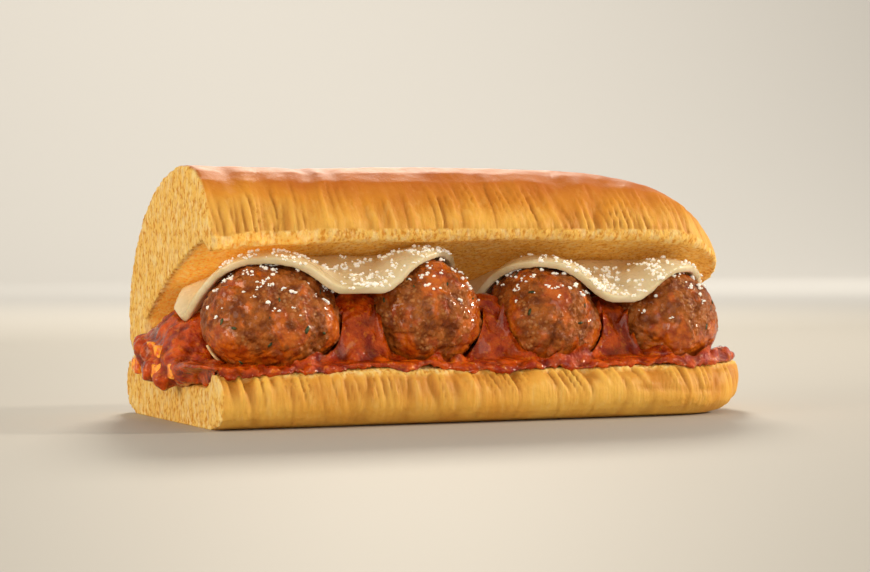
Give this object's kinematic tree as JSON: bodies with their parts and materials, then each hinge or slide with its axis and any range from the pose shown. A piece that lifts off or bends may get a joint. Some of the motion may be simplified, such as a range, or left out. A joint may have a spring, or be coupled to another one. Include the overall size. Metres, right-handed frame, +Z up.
{
  "type": "meatball submarine sandwich",
  "caption": "Cut half of a soft long roll, folded open on its hinge and filled with meatballs in tomato sauce under melted cheese slices.",
  "frame": {"origin": "middle of the whole object's bounding box, on the plane that it rests on", "axes": "+X along the roll from the knife cut to the baked end, +Y from the open side to the hinge, +Z up"},
  "size_m": [0.1642, 0.0798, 0.0643],
  "materials": {
    "bread": "matt baked crust, golden brown on top and pale at the cut",
    "sauce": "wet, glossy",
    "meat": "rough browned meat under a wet glaze",
    "cheese": "soft satin, slightly translucent"
  },
  "bodies": {
    "root": {"roll": "bread", "sauce": "sauce", "meatball_1": "meat", "meatball_2": "meat", "meatball_3": "meat", "meatball_4": "meat", "cheese_1": "cheese", "cheese_2": "cheese"}
  },
  "joints": []
}
